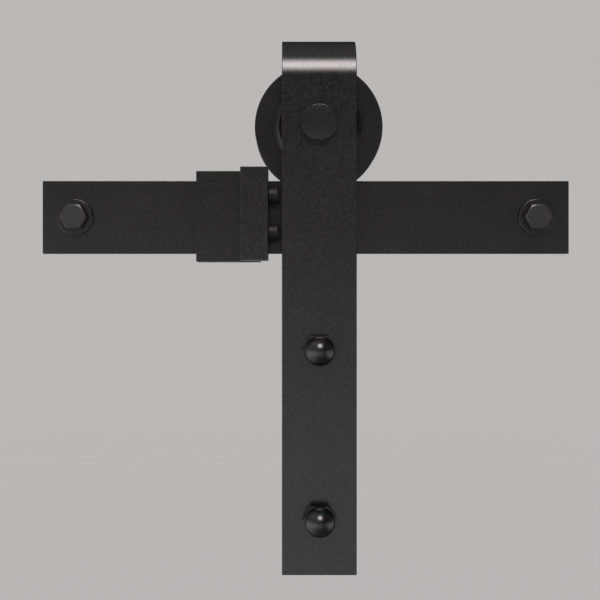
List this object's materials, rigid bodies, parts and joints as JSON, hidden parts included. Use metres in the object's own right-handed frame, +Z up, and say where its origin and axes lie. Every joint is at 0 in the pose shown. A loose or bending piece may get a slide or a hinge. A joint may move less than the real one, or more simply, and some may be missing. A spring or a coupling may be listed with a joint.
{
  "type": "sliding barn door hardware",
  "caption": "Strap hanger with a grooved ball-bearing wheel that rolls on a flat steel rail, with standoff wall fixings and a rail stop with rubber bumpers.",
  "frame": {"origin": "on the rail's top running edge, in the rail's mid-plane, straight below the axle when the strap rests beside the stop", "axes": "+X along the rail to the right as seen from the room, +Y towards the wall, +Z up"},
  "size_m": [0.29, 0.1281, 0.2894],
  "materials": {
    "black_powder_coat": "satin black powder coat with a very fine grain",
    "wheel_black_paint": "smooth satin black coat on turned steel",
    "gloss_black_enamel": "smooth glossy black",
    "black_oxide_steel": "black oxide on steel",
    "black_rubber": "moulded, slightly shiny",
    "zinc_plated_steel": "bright zinc plate",
    "bearing_steel": "ground and polished",
    "nylon": "translucent white-blue nylon"
  },
  "bodies": {
    "root": {"rail": "black_powder_coat", "standoff_left": "black_powder_coat", "standoff_right": "black_powder_coat", "lag_bolt_left": "black_oxide_steel", "lag_bolt_right": "black_oxide_steel", "lag_washer_left": "black_powder_coat", "lag_washer_right": "black_powder_coat", "stop_sleeve": "black_powder_coat", "stop_bar": "black_powder_coat", "stop_bar_screw_upper": "zinc_plated_steel", "stop_bar_screw_lower": "zinc_plated_steel", "stop_grub_screw_left": "zinc_plated_steel", "stop_grub_screw_right": "zinc_plated_steel", "bumper_upper": "black_rubber", "bumper_lower": "black_rubber", "bumper_stud_upper": "zinc_plated_steel", "bumper_stud_lower": "zinc_plated_steel"},
    "hanger": {"strap": "black_powder_coat", "axle_bolt": "black_oxide_steel", "axle_washer": "zinc_plated_steel", "axle_lock_nut": "zinc_plated_steel", "axle_nut_nylon_ring": "nylon", "axle_bush_front": "zinc_plated_steel", "axle_bush_rear": "zinc_plated_steel", "bearing_inner_ring": "bearing_steel", "cap_nut_upper": "gloss_black_enamel", "cap_nut_lower": "gloss_black_enamel", "door_bolt_upper": "black_oxide_steel", "door_bolt_lower": "black_oxide_steel", "door_washer_upper": "black_powder_coat", "door_washer_lower": "black_powder_coat"},
    "cage": {"bearing_cage": "bearing_steel", "bearing_ball_1": "bearing_steel", "bearing_ball_2": "bearing_steel", "bearing_ball_3": "bearing_steel", "bearing_ball_4": "bearing_steel", "bearing_ball_5": "bearing_steel", "bearing_ball_6": "bearing_steel", "bearing_ball_7": "bearing_steel", "bearing_ball_8": "bearing_steel"},
    "wheel": {"wheel": "wheel_black_paint", "bearing_outer_ring": "bearing_steel", "bearing_shield_front": "bearing_steel", "bearing_shield_rear": "bearing_steel", "circlip": "zinc_plated_steel"}
  },
  "joints": [
    {"name": "hanger_slide", "type": "slide", "parent": "root", "child": "hanger", "axis": [1, 0, 0], "range_m": [-0.0013, 0.115]},
    {"name": "wheel_spin", "type": "hinge", "parent": "hanger", "child": "wheel", "pos_m": [0, 0, 0.029], "axis": [0, 1, 0], "range_deg": [-3, 228]},
    {"name": "cage_spin", "type": "hinge", "parent": "hanger", "child": "cage", "pos_m": [0, 0, 0.029], "axis": [0, 1, 0], "range_deg": [-2, 142]}
  ],
  "couplings": [
    {"joint": "wheel_spin", "follows": "hanger_slide", "rad_per_m": 34.483},
    {"joint": "cage_spin", "follows": "hanger_slide", "rad_per_m": 21.345}
  ]
}
